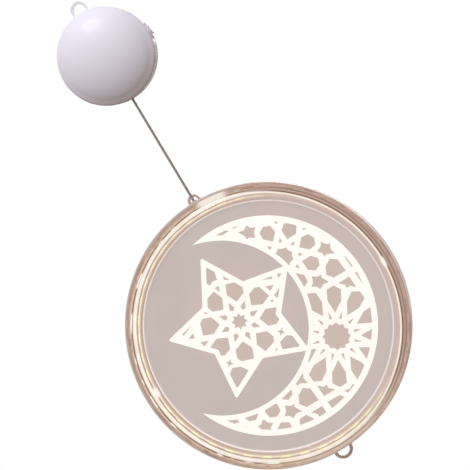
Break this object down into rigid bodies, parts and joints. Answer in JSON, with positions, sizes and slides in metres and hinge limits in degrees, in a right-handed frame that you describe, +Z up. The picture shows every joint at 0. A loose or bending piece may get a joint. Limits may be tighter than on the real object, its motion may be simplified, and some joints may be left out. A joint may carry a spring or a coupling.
{
  "type": "hanging light ornament",
  "caption": "Round edge-lit disc with a strapwork crescent and star, hung on a short cord from a round battery box with a hook loop.",
  "frame": {"origin": "top of the hook loop's inside, where the loop hangs on a hook or peg", "axes": "+Z up along the cord, front with the crescent facing -Y, battery box's flat back facing +Y, switch on the +X side"},
  "size_m": [0.2, 0.026, 0.369],
  "materials": {
    "box_white": "moulded, glossy",
    "tray_white": "moulded, satin",
    "cell_wrap": "shrunk plastic sleeve over the can",
    "contact_steel": "nickel plated",
    "switch_black": "moulded",
    "resistor_body": "dipped",
    "lead_red": "thin insulation",
    "cord_jacket": "clear jacket over the twisted leads",
    "ferrule_beige": "moulded",
    "ring_clear": "clear moulded, glossy",
    "plate_acrylic": "cast acrylic, polished",
    "print_cream": "printed, lit from the plate's edge",
    "strip_white": "flexible circuit",
    "light_warm": "phosphor, lit"
  },
  "bodies": {
    "battery_box": {"back_case": "box_white", "front_dome": "box_white", "cell_tray": "tray_white", "cell_1": "cell_wrap", "cell_2": "cell_wrap", "cell_3": "cell_wrap", "contact_spring_1": "contact_steel", "contact_spring_2": "contact_steel", "contact_spring_3": "contact_steel", "contact_plates": "contact_steel", "switch_body": "switch_black", "resistor": "resistor_body", "box_leads": "lead_red", "case_screws": "contact_steel", "cord_bush": "box_white", "cord_tail": "cord_jacket"},
    "cell_cover": {"cell_cover": "box_white"},
    "switch_knob": {"switch_knob": "box_white"},
    "hanging_cord": {"cord": "cord_jacket"},
    "cord_ferrule": {"cord_ferrule": "ferrule_beige"},
    "light_disc": {"back_ring": "ring_clear", "front_ring": "ring_clear", "light_plate": "plate_acrylic", "crescent_print": "print_cream", "star_print": "print_cream", "light_strip": "strip_white", "lights": "light_warm", "ring_leads": "lead_red"}
  },
  "joints": [
    {"name": "cover_lift", "type": "slide", "parent": "battery_box", "child": "cell_cover", "axis": [0, 1, 0], "range_m": [0, 0.02]},
    {"name": "switch_slide", "type": "slide", "parent": "battery_box", "child": "switch_knob", "axis": [0, 0, 1], "range_m": [0, 0.003]},
    {"name": "cord_swing", "type": "hinge", "parent": "battery_box", "child": "hanging_cord", "pos_m": [0, 0, -0.075], "axis": [0, 1, 0], "range_deg": [-25, 25]},
    {"name": "disc_tilt", "type": "hinge", "parent": "hanging_cord", "child": "cord_ferrule", "pos_m": [0, 0, -0.16], "axis": [1, 0, 0], "range_deg": [-25, 8]},
    {"name": "disc_turn", "type": "hinge", "parent": "cord_ferrule", "child": "light_disc", "pos_m": [0, 0, -0.16], "axis": [0, 0, 1], "range_deg": [-90, 90]}
  ]
}
